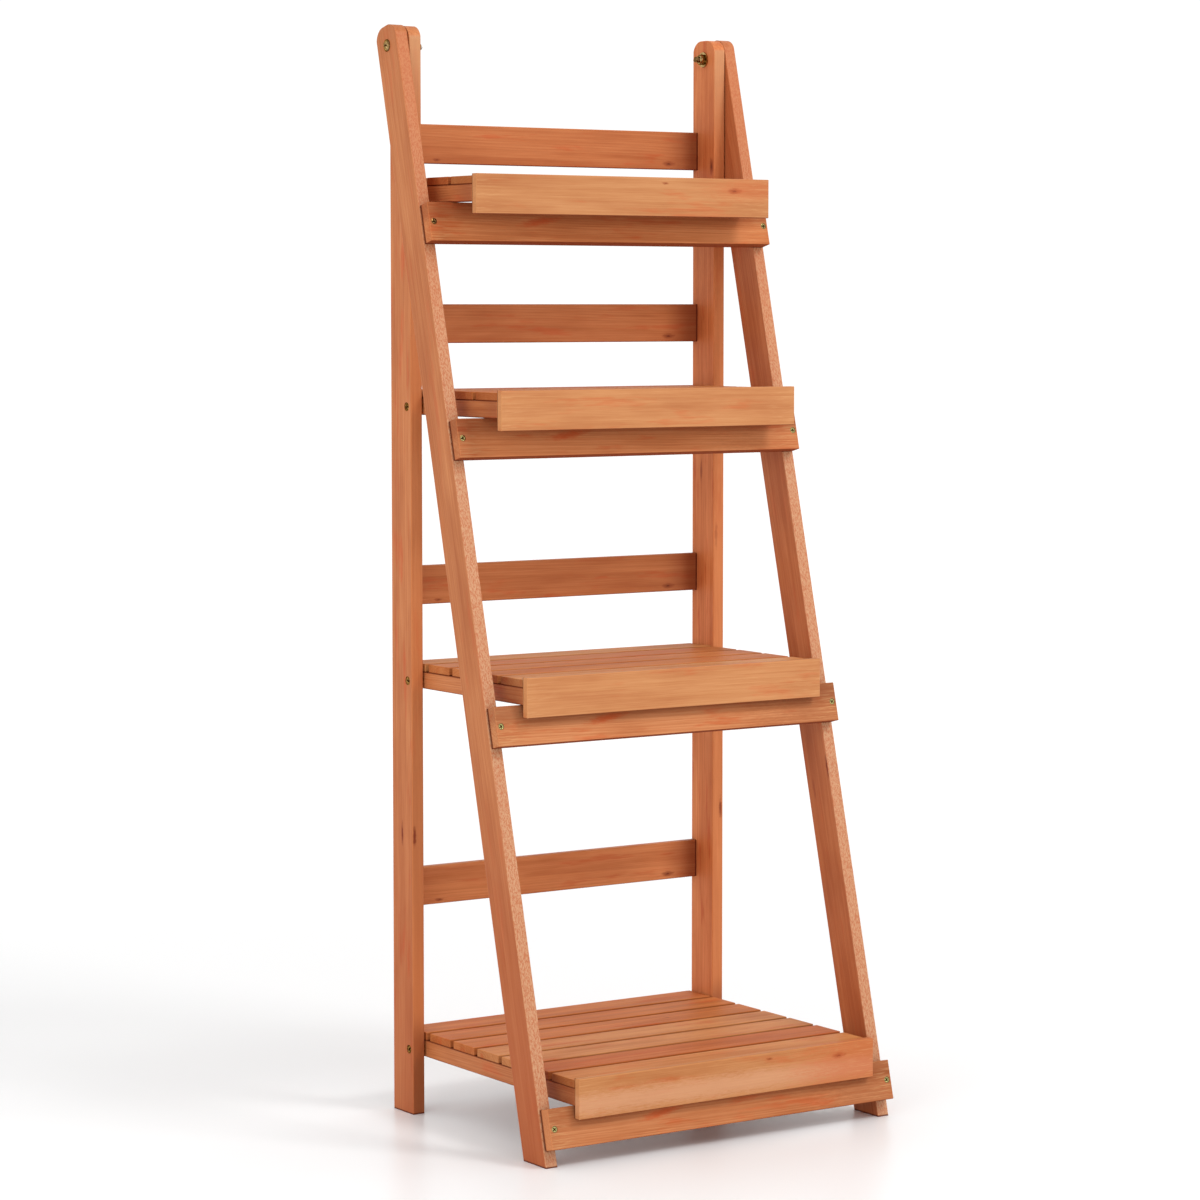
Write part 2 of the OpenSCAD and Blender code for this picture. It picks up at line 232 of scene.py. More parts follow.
def build_fir_grain():
    t, given, out = new_group("fir_grain", [
        ("Place", VECTOR, (0, 0, 0)), ("Seed", FLOAT, 0.0), ("Heart", VECTOR, (0, 40, 60)),
        ("Slope", FLOAT, 0.02), ("Ring Width", FLOAT, 2.2), ("Wander", FLOAT, 5.0),
        ("Contrast", FLOAT, 0.4), ("Flames", FLOAT, 0.5), ("Grain", FLOAT, 1.0),
        ("Early Wood", COLOUR, (0.6, 0.25, 0.1, 1)), ("Late Wood", COLOUR, (0.4, 0.13, 0.05, 1)),
        ("Flame", COLOUR, (0.55, 0.12, 0.035, 1)),
        ("Knot", FLOAT, 0.0), ("Knot Halo", FLOAT, 0.0), ("Knot Bend", FLOAT, 0.0),
    ], [("Color", COLOUR), ("Roughness", FLOAT), ("Height", FLOAT)])
    millimetres = vector_calc(t, "MULTIPLY", given["Place"], TO_MM)
    offset = vector_calc(t, "MULTIPLY", given["Seed"], LOG_STEP)
    place = vector_calc(t, "ADD", millimetres, offset)

    # year rings round the heart of the log: their distance wanders, and wide and narrow years take turns
    run_of_years, unevenness, late_from, late_full = 0.37, 2.4, 0.25, 0.88
    slow = calc(t, "SUBTRACT", stretched_noise(t, place, (0.0045, 0.03, 0.03), 1.0), 0.5)
    quick = calc(t, "SUBTRACT", stretched_noise(t, place, (0.02, 0.16, 0.16), 1.0), 0.5)
    wander = calc(t, "ADD", calc(t, "MULTIPLY", slow, given["Wander"]), quick)
    along, across, deep = axes_of(t, vector_calc(t, "SUBTRACT", millimetres, given["Heart"]))
    leaning = calc(t, "MULTIPLY_ADD", along, given["Slope"], across)
    shifted = calc(t, "ADD", calc(t, "ADD", leaning, wander), given["Knot Bend"])
    radius = calc(t, "SQRT", calc(t, "ADD", calc(t, "MULTIPLY", shifted, shifted), calc(t, "MULTIPLY", deep, deep)))
    years = calc(t, "DIVIDE", radius, given["Ring Width"])
    uneven = add_node(t, "ShaderNodeTexNoise", {
        "W": calc(t, "MULTIPLY", years, run_of_years), "Scale": 1.0, "Detail": 1.0},
        noise_dimensions="1D").outputs["Fac"]
    year = calc(t, "FRACT", calc(t, "ADD", years, calc(t, "MULTIPLY", uneven, unevenness)))
    late = calc(t, "MULTIPLY", fade(t, year, late_from, late_full), fade(t, year, late_full, 1.0, 1.0, 0.0))

    # fibres, uneven soaking of the stain, pale streaks and reddish flames
    fibre = stretched_noise(t, place, (0.008, 0.95, 0.95), detail=3.0, roughness=0.7)
    hair = stretched_noise(t, place, (0.03, 2.6, 2.6), roughness=0.7)
    band = stretched_noise(t, place, (0.004, 0.14, 0.14), roughness=0.55)
    soak = stretched_noise(t, place, (0.008, 0.04, 0.04), detail=3.0, roughness=0.55)
    pale = fade(t, stretched_noise(t, place, (0.008, 0.5, 0.5), detail=1.0), 0.64, 0.8)
    red = fade(t, stretched_noise(t, place, (0.013, 0.085, 0.06), detail=3.0, roughness=0.65), 0.54, 0.7)

    # colour: late wood and soaked patches are darker, and a lighter fibre gains more blue than red
    pale_gain, red_power, green_power, blue_power = 0.1, 0.7, 1.3, 1.8
    amount = calc(t, "MULTIPLY", late, given["Contrast"])
    amount = calc(t, "ADD", amount, fade(t, soak, 0.4, 0.75, 0.0, 0.5))
    colour = mix_colour(t, amount, given["Early Wood"], given["Late Wood"])
    colour = mix_colour(t, calc(t, "MULTIPLY", red, given["Flames"]), colour, given["Flame"])
    tone = calc(t, "MULTIPLY", fade(t, band, 0.3, 0.7, 0.93, 1.07), fade(t, soak, 0.25, 0.6, 1.07, 0.97))
    lines = calc(t, "MULTIPLY", fade(t, fibre, 0.35, 0.65, 0.9, 1.08), fade(t, hair, 0.35, 0.65, 0.92, 1.06))
    tone = calc(t, "MULTIPLY", tone, lines)
    tone = calc(t, "MULTIPLY_ADD", pale, pale_gain, tone)
    tone = calc(t, "MULTIPLY_ADD", calc(t, "SUBTRACT", tone, 1.0), given["Grain"], 1.0)
    shade = add_node(t, "ShaderNodeCombineColor", {
        0: calc(t, "POWER", tone, red_power), 1: calc(t, "POWER", tone, green_power),
        2: calc(t, "POWER", tone, blue_power)}).outputs[0]
    colour = mix_colour(t, 1.0, colour, shade, "MULTIPLY")
    colour = mix_colour(t, given["Knot Halo"], colour, KNOT_RING)
    t.links.new(mix_colour(t, given["Knot"], colour, KNOT_CORE), out["Color"])

    # late wood is harder, so it stands a little higher and takes a smoother finish
    late_smoother, late_higher, hair_high, fibre_high = -0.05, 0.4, 0.4, 0.6
    rough = fade(t, fibre, 0.2, 0.8, 0.56, 0.46)
    t.links.new(calc(t, "MULTIPLY_ADD", late, late_smoother, rough), out["Roughness"])
    ridges = calc(t, "MULTIPLY_ADD", hair, hair_high, calc(t, "MULTIPLY", fibre, fibre_high))
    height = calc(t, "MULTIPLY_ADD", late, late_higher, ridges)
    t.links.new(calc(t, "SUBTRACT", height, given["Knot"]), out["Height"])
    return t


fir_grain = build_fir_grain()
print("fir_grain has", len(fir_grain.nodes), "nodes")

# %% [markdown]
# ## Knots, streaks and the faces of a board
# A knot is the root of a branch. It runs through the board as a reddish brown oval, and the grain flows round
# it. The knot group gives the dark core and how far the rings are pushed aside, for a given place. The
# streak group gives one ragged ellipse: a slanting smear of red, a dash of resin, or a wide band of another tone.
#
# Every edge is eased with a small round, where stain and lacquer lie thinner, so it looks paler, and a painted
# highlight pales it more. Ends soak up stain in another way than faces, and where boards meet a thin dark seam
# is painted as shade. The faces group finds all of this by arithmetic from the half sizes of the board: a point
# is on an edge where it is close to two faces at once, and on an end where it is close to that face. This can be
# baked, which the Bevel node can't.

# %% The knot, streak and face groups
def build_fir_knot():
    t, given, out = new_group("fir_knot", [
        ("Place", VECTOR, (0, 0, 0)), ("Centre", VECTOR, (0, 0, 0)), ("Radius", FLOAT, 2.0),
    ], [("Knot", FLOAT), ("Halo", FLOAT), ("Bend", FLOAT)])
    oval_shape, raggedness, bend_fall = (0.36, 0.95, 0.12), 3.0, -0.16
    apart = vector_calc(t, "SUBTRACT", vector_calc(t, "MULTIPLY", given["Place"], TO_MM), given["Centre"])
    ragged = calc(t, "SUBTRACT", stretched_noise(t, apart, (0.16, 0.9, 0.2), detail=3.0), 0.5)
    round_it = vector_calc(t, "LENGTH", vector_calc(t, "MULTIPLY", apart, oval_shape))
    oval = calc(t, "ADD", round_it, calc(t, "MULTIPLY", ragged, raggedness))
    share = calc(t, "DIVIDE", oval, given["Radius"])
    t.links.new(fade(t, share, 0.1, 0.5, 0.85, 0.0), out["Knot"])
    t.links.new(fade(t, share, 0.5, 1.2, 0.8, 0.0), out["Halo"])
    side = axes_of(t, apart)[1]
    near = calc(t, "EXPONENT", calc(t, "MULTIPLY", calc(t, "MULTIPLY", share, share), bend_fall))
    t.links.new(calc(t, "MULTIPLY", calc(t, "MULTIPLY", near, calc(t, "SIGN", side)), given["Radius"]), out["Bend"])
    return t


def build_red_streak():
    t, given, out = new_group("red_streak", [
        ("Place", VECTOR, (0, 0, 0)), ("Centre", VECTOR, (0, 0, 0)), ("Slant", VECTOR, (0, 0, 0)),
        ("Half Size", VECTOR, (0.015, 0.002, 1)),
    ], [("Streak", FLOAT)])
    raggedness, full_inside, gone_outside = 1.5, 0.2, 1.15
    laid = add_node(t, "ShaderNodeMapping", {
        "Vector": given["Place"], "Location": given["Centre"], "Rotation": given["Slant"],
        "Scale": given["Half Size"]}, vector_type="TEXTURE").outputs[0]
    flat = vector_calc(t, "MULTIPLY", laid, (1, 1, 0))
    noise = stretched_noise(t, given["Place"], (130, 900, 100), detail=3.0, roughness=0.7)
    share = calc(t, "MULTIPLY_ADD", calc(t, "SUBTRACT", noise, 0.5), raggedness, vector_calc(t, "LENGTH", flat))
    t.links.new(fade(t, share, full_inside, gone_outside, 1.0, 0.0), out["Streak"])
    return t


def build_board_faces():
    t, given, out = new_group("board_faces", [
        ("Place", VECTOR, (0, 0, 0)), ("Half Size", VECTOR, (0.1, 0.02, 0.005)), ("Ease", FLOAT, 0.002),
        ("Seams", VECTOR, (0, 0, 0)), ("Seam Reach", FLOAT, 0.015), ("Seam Width", FLOAT, 0.002),
    ], [("Edge", FLOAT), ("End", FLOAT), ("Near End", FLOAT), ("Narrow Side", FLOAT), ("Seam", FLOAT)])
    inside = vector_calc(t, "SUBTRACT", given["Half Size"], vector_calc(t, "ABSOLUTE", given["Place"]))
    x, y, z = axes_of(t, inside)
    second = calc(t, "MAXIMUM", calc(t, "MINIMUM", x, y), calc(t, "MINIMUM", calc(t, "MAXIMUM", x, y), z))
    wear_and_highlight = calc(t, "SUBTRACT", stretched_noise(t, given["Place"], (60, 300, 300)), 0.5)
    share = calc(t, "MULTIPLY_ADD", wear_and_highlight, 0.5, calc(t, "DIVIDE", second, given["Ease"]))
    t.links.new(fade(t, share, 0.25, 0.85, 1.0, 0.0), out["Edge"])
    t.links.new(fade(t, x, 0.1 * MM, 0.7 * MM, 1.0, 0.0), out["End"])
    t.links.new(fade(t, x, 6 * MM, 50 * MM, 1.0, 0.0), out["Near End"])
    t.links.new(fade(t, y, 0.2 * MM, 1.2 * MM, 1.0, 0.0), out["Narrow Side"])

    # Seams says how dark the painted shade of the seams is at the ends, along the sides and at the back, which is at
    # low z
    ends, sides, back = axes_of(t, given["Seams"])
    from_back = calc(t, "ADD", axes_of(t, given["Place"])[2], axes_of(t, given["Half Size"])[2])
    inner = calc(t, "MULTIPLY", given["Seam Width"], 0.5)
    at_back = calc(t, "MULTIPLY", fade(t, from_back, inner, given["Seam Width"], 1.0, 0.0), back)
    rim = fade(t, calc(t, "MINIMUM", x, y), 0.5 * MM, 1.6 * MM, 1.0, 0.0)
    reached = calc(t, "LESS_THAN", x, given["Seam Reach"])
    at_back = calc(t, "MULTIPLY", calc(t, "MULTIPLY", at_back, rim), reached)
    at_end = calc(t, "MULTIPLY", fade(t, x, 0.8 * MM, 2.4 * MM, 1.0, 0.0), ends)
    at_side = calc(t, "MULTIPLY", fade(t, y, 0.05 * MM, 0.45 * MM, 1.0, 0.0), sides)
    t.links.new(calc(t, "MAXIMUM", at_back, calc(t, "MAXIMUM", at_end, at_side)), out["Seam"])
    return t


fir_knot, red_streak, board_faces = build_fir_knot(), build_red_streak(), build_board_faces()
print("fir_knot, red_streak and board_faces are ready")

# %% [markdown]
# ## One board, one material
# Boards out of one packet never match. So each board gets a material of its own, from the same groups: a
# Mapping node lays the board's length along X, its width along Y and its thickness along Z, whatever way it
# is built in, and the seed cuts it from another place in another log.

# %% Stain tones
# each tone: early wood, late wood
STAINS = {
    "tan": ((0.575, 0.245, 0.094), (0.45, 0.150, 0.052)),
    "orange": ((0.56, 0.196, 0.070), (0.42, 0.122, 0.039)),
    "russet": ((0.50, 0.155, 0.055), (0.36, 0.092, 0.029)),
    "rose": ((0.52, 0.182, 0.064), (0.40, 0.115, 0.037)),
    "salmon": ((0.59, 0.262, 0.113), (0.46, 0.160, 0.062)),
}
FLAME = (0.55, 0.100, 0.028, 1)
FLECK = (0.47, 0.118, 0.042, 1)
RESIN = (0.16, 0.010, 0.002, 1)
SHADE = (0.20, 0.035, 0.010, 1)
DEEP = (0.12, 0.008, 0.002, 1)
PALE = (0.72, 0.400, 0.180, 1)
# the next colour is a painted sheen, for a pale band low on the fourth fascia
SHEEN_PALE = (0.65, 0.330, 0.185, 1)
# the colour that the legs grow towards near the floor: partly painted shade
FOOT_SHADE = (0.38, 0.066, 0.015, 1)
# the colour of the painted shade in seams and of the line at the floor
SEAM = (0.085, 0.008, 0.002, 1)
EDGE_EASE = 1.0 * MM
# how high the legs grow darker, partly painted shade; where the painted shadow of the lowest shelf lies; and the
# painted contact shadow at the floor
FOOT_HIGH, FOOT_DARK, FOOT_LINE = 0.5, (75 * MM, 110 * MM), (0.7 * MM, 2.0 * MM)
# faces that look down are darkened as painted shade, and made rougher
UNDERSIDE = (-0.6, -0.12)
# edges are paler, partly thinner stain and partly a painted highlight; seams and faces that look down get painted
# shade
EDGE_PALE, SEAM_DARK, FLECKS, UNDER_DARK, UNDER_ROUGH = 0.25, 0.9, 0.75, 0.85, 0.95
print(len(STAINS), "tones of stain, edges eased by", EDGE_EASE, "m")


# %% The board material
def add_streaks(tree, place, colour, streaks):
    for middle_m, slant, size, hue, strength in streaks:
        streak = add_node(tree, "ShaderNodeGroup", {
            "Place": place, "Centre": middle_m, "Slant": slant, "Half Size": size}, node_tree=red_streak)
        colour = mix_colour(tree, calc(tree, "MULTIPLY", streak.outputs["Streak"], strength), colour, hue)
    return colour


def add_knots(tree, place, grain, knots):
    core = halo = bend = 0.0
    for centre_mm, radius in knots:
        knot = add_node(tree, "ShaderNodeGroup", {
            "Place": place, "Centre": centre_mm, "Radius": radius}, node_tree=fir_knot).outputs
        core = calc(tree, "MAXIMUM", knot["Knot"], core)
        halo = calc(tree, "MAXIMUM", knot["Halo"], halo)
        bend = calc(tree, "ADD", knot["Bend"], bend)
    if knots:
        for label, value in (("Knot", core), ("Knot Halo", halo), ("Knot Bend", bend)):
            tree.links.new(value, grain.inputs[label])


def board_material(name, centre, turn, half, tone, seed, *, heart=(0, 45, 30), slope=0.02, ring=2.2, wander=6.0,
                   contrast=0.4, flames=0.5, grain_share=1.0, lift=1.0, gloss=0.15, end_lift=0.35, knots=(),
                   streaks=(), dashes=(), narrow=None, flecked=False, shaded_foot=0.0, dark_foot=0.0,
                   pale_ends=0.0, dark_end=None, dark_top=None, seams=(0, 0, 0), seam_width=2.0 * MM):
    """Stained fir for one board, which lies round its centre, turned, with its half sizes in its own axes.

    heart, slope, ring, wander and contrast lay its year rings. lift scales the tone, end_lift pales the sawn
    ends, or darkens them if it is negative. The other names say what else shows on the board, and how much.
    """
    material, tree, shader = new_material(name)
    coordinates = add_node(tree, "ShaderNodeTexCoord").outputs
    seen = coordinates["Object"]
    place = add_node(tree, "ShaderNodeMapping", {
        "Vector": seen, "Location": centre, "Rotation": turn}, vector_type="TEXTURE").outputs[0]
    lifts = lift if isinstance(lift, tuple) else (lift, lift, lift)
    early, late = [[channel * k for channel, k in zip(colour, lifts)] + [1] for colour in STAINS[tone]]
    grain = add_node(tree, "ShaderNodeGroup", node_tree=fir_grain)
    for label, value in {
            "Seed": seed, "Heart": heart, "Slope": slope, "Ring Width": ring, "Wander": wander,
            "Contrast": contrast, "Flames": flames, "Grain": grain_share, "Early Wood": early,
            "Late Wood": late, "Flame": FLAME}.items():
        grain.inputs[label].default_value = value
    tree.links.new(place, grain.inputs["Place"])
    add_knots(tree, place, grain, knots)
    colour = add_streaks(tree, place, grain.outputs["Color"], streaks)
    faces = add_node(tree, "ShaderNodeGroup", {
        "Place": place, "Half Size": half, "Ease": EDGE_EASE, "Seams": seams, "Seam Width": seam_width},
        node_tree=board_faces).outputs
    along, across = axes_of(tree, place)[:2]
    height = axes_of(tree, seen)[2]

    # pale ends, one darker end (painted shade on back and side rails), painted fascia shadow, darker feet (partly
    # painted shade)
    if pale_ends:
        threads = fade(tree, stretched_noise(tree, place, (45, 800, 800), roughness=0.6), 0.52, 0.66)
        pale = calc(tree, "MULTIPLY", calc(tree, "MULTIPLY", threads, faces["Near End"]), pale_ends)
        colour = mix_colour(tree, pale, colour, PALE)
    # darker towards one end; on the back rails and side rails this is painted shade beside a leg
    if dark_end:
        direction, share = dark_end
        one_end = fade(tree, calc(tree, "MULTIPLY", along, direction), 0.0, 10 * MM, 0.0, share)
        colour = mix_colour(tree, calc(tree, "MULTIPLY", faces["Near End"], one_end), colour, DEEP)
    # painted shadow of the fascia above, on the upper part of a front rail
    if dark_top:
        low, high, share = dark_top
        colour = mix_colour(tree, fade(tree, across, low, high, 0.0, share), colour, DEEP)
    # darker and redder towards the floor, partly painted shade
    if shaded_foot:
        colour = mix_colour(tree, fade(tree, height, 0.0, FOOT_HIGH, shaded_foot, 0.0), colour, FOOT_SHADE)

    # the narrow faces have a tint of their own, and on the side rails a painted shade
    if narrow:
        upper, lower, (fade_from, fade_to), share = narrow
        tint = mix_colour(tree, fade(tree, along, fade_from, fade_to), lower, upper)
        if flecked:
            noise = stretched_noise(tree, place, (330, 850, 850), detail=3.0, roughness=0.85)
            flecks = calc(tree, "MULTIPLY", fade(tree, noise, 0.46, 0.55), FLECKS)
            tint = mix_colour(tree, flecks, tint, FLECK)
        colour = mix_colour(tree, calc(tree, "MULTIPLY", faces["Narrow Side"], share), colour, tint)
    colour = add_streaks(tree, place, colour, dashes)
    # painted shadow of the lowest shelf on the narrow faces near the floor
    if dark_foot:
        low = calc(tree, "MULTIPLY", faces["Narrow Side"], fade(tree, height, *FOOT_DARK, dark_foot, 0.0))
        colour = mix_colour(tree, low, colour, DEEP)

    # paler eased edges (partly a painted highlight), sawn ends, painted shade below and in seams, painted contact
    # shadow at the floor
    # paler edges: partly thinner stain, partly a painted highlight
    brighter = [min(1, channel * 1.3) for channel in early[:3]] + [1]
    colour = mix_colour(tree, calc(tree, "MULTIPLY", faces["Edge"], EDGE_PALE), colour, brighter)
    colour = mix_colour(tree, calc(tree, "MULTIPLY", faces["End"], abs(end_lift)), colour,
                        brighter if end_lift > 0 else SHADE)
    # faces that look down get painted shade and a rougher finish
    facing = axes_of(tree, coordinates["Normal"])[2]
    colour = mix_colour(tree, fade(tree, facing, *UNDERSIDE, UNDER_DARK, 0.0), colour, SHADE)
    # seams between boards are darkened as painted shade
    colour = mix_colour(tree, calc(tree, "MULTIPLY", faces["Seam"], SEAM_DARK), colour, SEAM)
    # a thin dark line at the floor: painted contact shadow
    if shaded_foot:
        colour = mix_colour(tree, fade(tree, height, *FOOT_LINE, SEAM_DARK, 0.0), colour, SEAM)
    tree.links.new(colour, shader.inputs["Base Color"])
    under_rough = fade(tree, facing, *UNDERSIDE, UNDER_ROUGH, 0.0)
    rough = calc(tree, "MAXIMUM", grain.outputs["Roughness"], under_rough)
    tree.links.new(calc(tree, "MAXIMUM", rough, faces["Edge"]), shader.inputs["Roughness"])
    bump = add_node(tree, "ShaderNodeBump", {
        "Strength": 0.3, "Distance": 0.2 * MM, "Height": grain.outputs["Height"]})
    tree.links.new(bump.outputs["Normal"], shader.inputs["Normal"])
    shader.inputs["Specular IOR Level"].default_value = gloss
    return material


print("board_material is ready")

# %% [markdown]
# ## Which way each board lies
# Rails, fascias and slats run along X, side rails along Y and the rear legs along Z. The front frame leans,
# and the line through the middles of its first and last rail says by how much. Each turn below carries the
# board's own axes, length, width and thickness, on to the stand's.

# %% Turns and half sizes
def axes_turn(length, width):
    length, width = Vector(length).normalized(), Vector(width).normalized()
    thick = length.cross(width)
    return Matrix((length, width, thick)).transposed().to_euler()


def middle(node):
    low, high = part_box(node)
    return (low + high) / 2


def half_size(node, way):
    low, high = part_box(node)
    return [(high[i] - low[i]) / 2 for i in AXES_OF_WAY[way]]


down_leg = (middle("front_rail_4") - middle("front_rail_1")).normalized()
leg_rear = Vector((1, 0, 0)).cross(down_leg)
pivot = Vector(next(j["pos_m"] for j in frame["joints"] if j["name"] == "front_fold"))
# a front leg is measured from its pivot, and its half length lies far beyond its ends, so they aren't found
LEG_HALF = (2.0, 19.75 * MM, 6.75 * MM)
FRONT_RAIL_HALF = (208.6 * MM, 20 * MM, 7.25 * MM)
AXES_OF_WAY = {"upright": (0, 2, 1), "flat": (0, 1, 2), "side": (1, 2, 0), "leg": (2, 1, 0)}
TURNS = {
    "upright": axes_turn((1, 0, 0), (0, 0, 1)),
    "flat": axes_turn((1, 0, 0), (0, 1, 0)),
    "side": axes_turn((0, 1, 0), (0, 0, 1)),
    "leg": axes_turn((0, 0, 1), (0, 1, 0)),
    "front_rail": axes_turn((1, 0, 0), -down_leg),
    "front_leg": axes_turn(-down_leg, leg_rear),
}
lean = math.degrees(math.atan2(-down_leg.y, -down_leg.z))
print("the front frame leans by", round(lean, 2), "degrees")

# %% [markdown]
# ## The boards of the two frames
# The rear legs and back rails carry the deeper orange, the front legs a rosier tone with short flecks on
# their edges, as wood shows where it is cut along the rays. Each back rail has a pair of small knots near its
# lower edge, and each front rail has a red flame a third of the way along.
#
# Marks are listed in metres from the middle of the board: the place, how it is turned, its half
# size, its colour and how strong it is. A mark on an edge is turned so that its width lies in the thickness.

# %% Frame boards
def finish_board(node, way, tone, seed, centre=None, half=None, **looks):
    board = frame["nodes"][node]
    board.data.materials.clear()
    board.data.materials.append(board_material(
        node + "_stain", centre or middle(node), TURNS[way], half or half_size(node, way), tone, seed, **looks))
    finished.append(node)


ON_FACE, ON_EDGE = (0, 0, 0), (math.radians(90), 0, 0)
DASH = (14 * MM, 2.3 * MM, 1)
DARK_UPPER_PART = ((0.43, 0, 0), ON_FACE, (0.24, 0.06, 1), DEEP, 0.2)
# each narrow face: its colour near the top and lower down, where between them it fades, and how much it shows
REAR_NARROW = ((0.52, 0.270, 0.135, 1), (0.57, 0.190, 0.067, 1), (0.42, 0.54), 0.6)
FRONT_NARROW = ((0.545, 0.195, 0.080, 1), (0.612, 0.335, 0.187, 1), (-0.45, 0.03), 0.9)
# dark_foot paints the shadow of the lowest shelf on the narrow faces near the floor
REAR_LEG = dict(heart=(0, -70, 26), slope=0.012, ring=2.4, flames=0.6, contrast=0.35, narrow=REAR_NARROW,
                dark_foot=0.4)
FRONT_LEG = dict(heart=(0, 60, -22), slope=-0.01, ring=2.1, contrast=0.22, flames=0.3, narrow=FRONT_NARROW,
                 flecked=True, half=LEG_HALF)
REAR_LEGS = {
    "left": dict(seed=1.3, shaded_foot=0.42, dashes=[
        ((-0.2669, 0.0006, 0), ON_FACE, DASH, RESIN, 0.9), ((-0.2663, 0, 0.0042), ON_EDGE, DASH, RESIN, 0.8)]),
    "right": dict(seed=2.9, shaded_foot=0.105, lift=(1.29, 1.22, 1.16), streaks=[DARK_UPPER_PART], dashes=[
        ((-0.2667, 0, -0.0034), ON_EDGE, DASH, RESIN, 0.75), ((0.0973, 0.0031, 0), ON_FACE, DASH, RESIN, 0.55),
        ((0.0281, 0, 0.0030), ON_EDGE, DASH, RESIN, 0.3)], knots=[((423, -14.7, 6), 3.6)]),
}
FRONT_LEGS = {
    "left": dict(tone="rose", seed=6.3, shaded_foot=0.6, streaks=[
        ((-0.9081, 0, -0.0051), ON_EDGE, DASH, RESIN, 0.7)]),
    "right": dict(tone="russet", seed=7.9, shaded_foot=0.15, streaks=[
        ((-0.768, -0.0185, 0), ON_FACE, DASH, RESIN, 0.9), ((-0.787, 0.0092, 0), ON_FACE, DASH, RESIN, 0.35)]),
}
finished = []
for side in ("left", "right"):
    finish_board("rear_leg_" + side, "leg", "orange", **REAR_LEG, **REAR_LEGS[side])
    node = "front_leg_" + side
    on_pivot = Vector((middle(node).x, pivot.y, pivot.z))
    finish_board(node, "front_leg", centre=on_pivot, **FRONT_LEG, **FRONT_LEGS[side])

PIN_KNOTS = [((144, -14, 0), 3.0), ((-145, -15.9, 0), 1.8)]
# the right end of each back rail is darkened as painted shade beside the right rear leg, and its ends get painted
# shade in the seams
BACK_RAIL = dict(knots=PIN_KNOTS, seams=(1, 0, 0), dark_end=(1, 0.55), grain_share=0.65, contrast=0.3)
for tier, lift in enumerate((1.02, 1.07, 1.03, 1.18), 1):
    finish_board(f"back_rail_{tier}", "upright", "orange", 11.7 + tier, lift=lift, heart=(0, -30 + 9 * tier, 34),
                 **BACK_RAIL)

RED_FLAME = ((-0.078, 0.001, 0), (0, 0, math.radians(9)), (0.030, 0.005, 1), FLAME, 0.85)
# the seam at the back of each front rail is painted shade in its gap to the leg
FRONT_RAIL = dict(ring=2.6, grain_share=0.75, seams=(0, 0, 1), seam_width=4.2 * MM, gloss=0.04, half=FRONT_RAIL_HALF)
# from the top: the lift of the stain, how dark the right end and the left end are, how dark the painted shadow
# # of the fascia on the upper part is, and the ends
FRONT_RAILS = [
    ((1.10, 1.08, 1.10), 0.02, 0.15, 0.42, dict(pale_ends=0.3, end_lift=0.1)),
    ((1.13, 1.16, 1.24), 0.18, 0.36, 0.42, dict(pale_ends=0.45, end_lift=0.1)),
    ((1.08, 1.22, 1.42), 0.26, 0.08, 0.42, dict(pale_ends=0.45, end_lift=0.1)),
    ((0.98, 1.04, 1.15), 0.26, 0.1, 0.22, dict(pale_ends=0.45, end_lift=0.4)),
]
for tier, (lift, right_dark, left_dark, fascia_shadow, ends) in enumerate(FRONT_RAILS, 1):
    right_end = ((0.195, 0, 0), ON_FACE, (0.10, 0.06, 1), DEEP, right_dark)
    finish_board(f"front_rail_{tier}", "front_rail", "orange", 23.1 + tier, lift=lift, heart=(0, 42 - 5 * tier, 28),
                 streaks=[RED_FLAME, right_end], dark_end=(-1, left_dark), dark_top=(-6 * MM, 10 * MM, fascia_shadow),
                 **ends, **FRONT_RAIL)
print(len(finished), "frame boards finished")

# %% [markdown]
# ## The shelves
# The fascias are the lightest boards of the stand. The slats under them vary more, because seven narrow
# boards show their differences side by side, so their tones and hearts take turns through short lists. The
# tops of the side rails are seen only through the gaps between the slats, so they are painted dark as shade,
# and their front ends get painted shade of the front legs.

# %% Shelf boards
FASCIA_KNOTS = [((135.5, 7.3, 0), 3.3), ((48.6, 14, 0), 1.5)]
WARM_PATCH = ((0.16, 0.009, 0), ON_FACE, (0.075, 0.015, 1), FLAME, 0.35)
WARM_END = ((0.185, 0, 0), ON_FACE, (0.12, 0.06, 1), FLAME, 0.5)
# a pale band low on the fourth fascia: a painted sheen
SHEEN_BAND = ((0, -0.006, 0), ON_FACE, (0.8, 0.014, 1), SHEEN_PALE, 0.65)
# the seam at the back of each fascia is painted shade
FASCIA = dict(ring=1.7, wander=3.0, contrast=0.14, flames=0.35, grain_share=0.65, pale_ends=0.25, end_lift=0.2,
              seams=(0, 0, 1))
FASCIAS = [
    dict(lift=0.91, streaks=[WARM_PATCH], knots=FASCIA_KNOTS),
    dict(lift=0.96),
    dict(lift=0.98),
    dict(lift=0.93, streaks=[SHEEN_BAND, WARM_END], knots=FASCIA_KNOTS, gloss=0.04),
]
# the front ends and the narrow faces of the side rails are darkened as painted shade
SIDE_RAIL = dict(dark_end=(-1, 0.4), narrow=(DEEP, DEEP, (0, 1), 0.75))
SIDE_HEARTS = {"left": (0, 30, 18), "right": (0, 30, -18)}
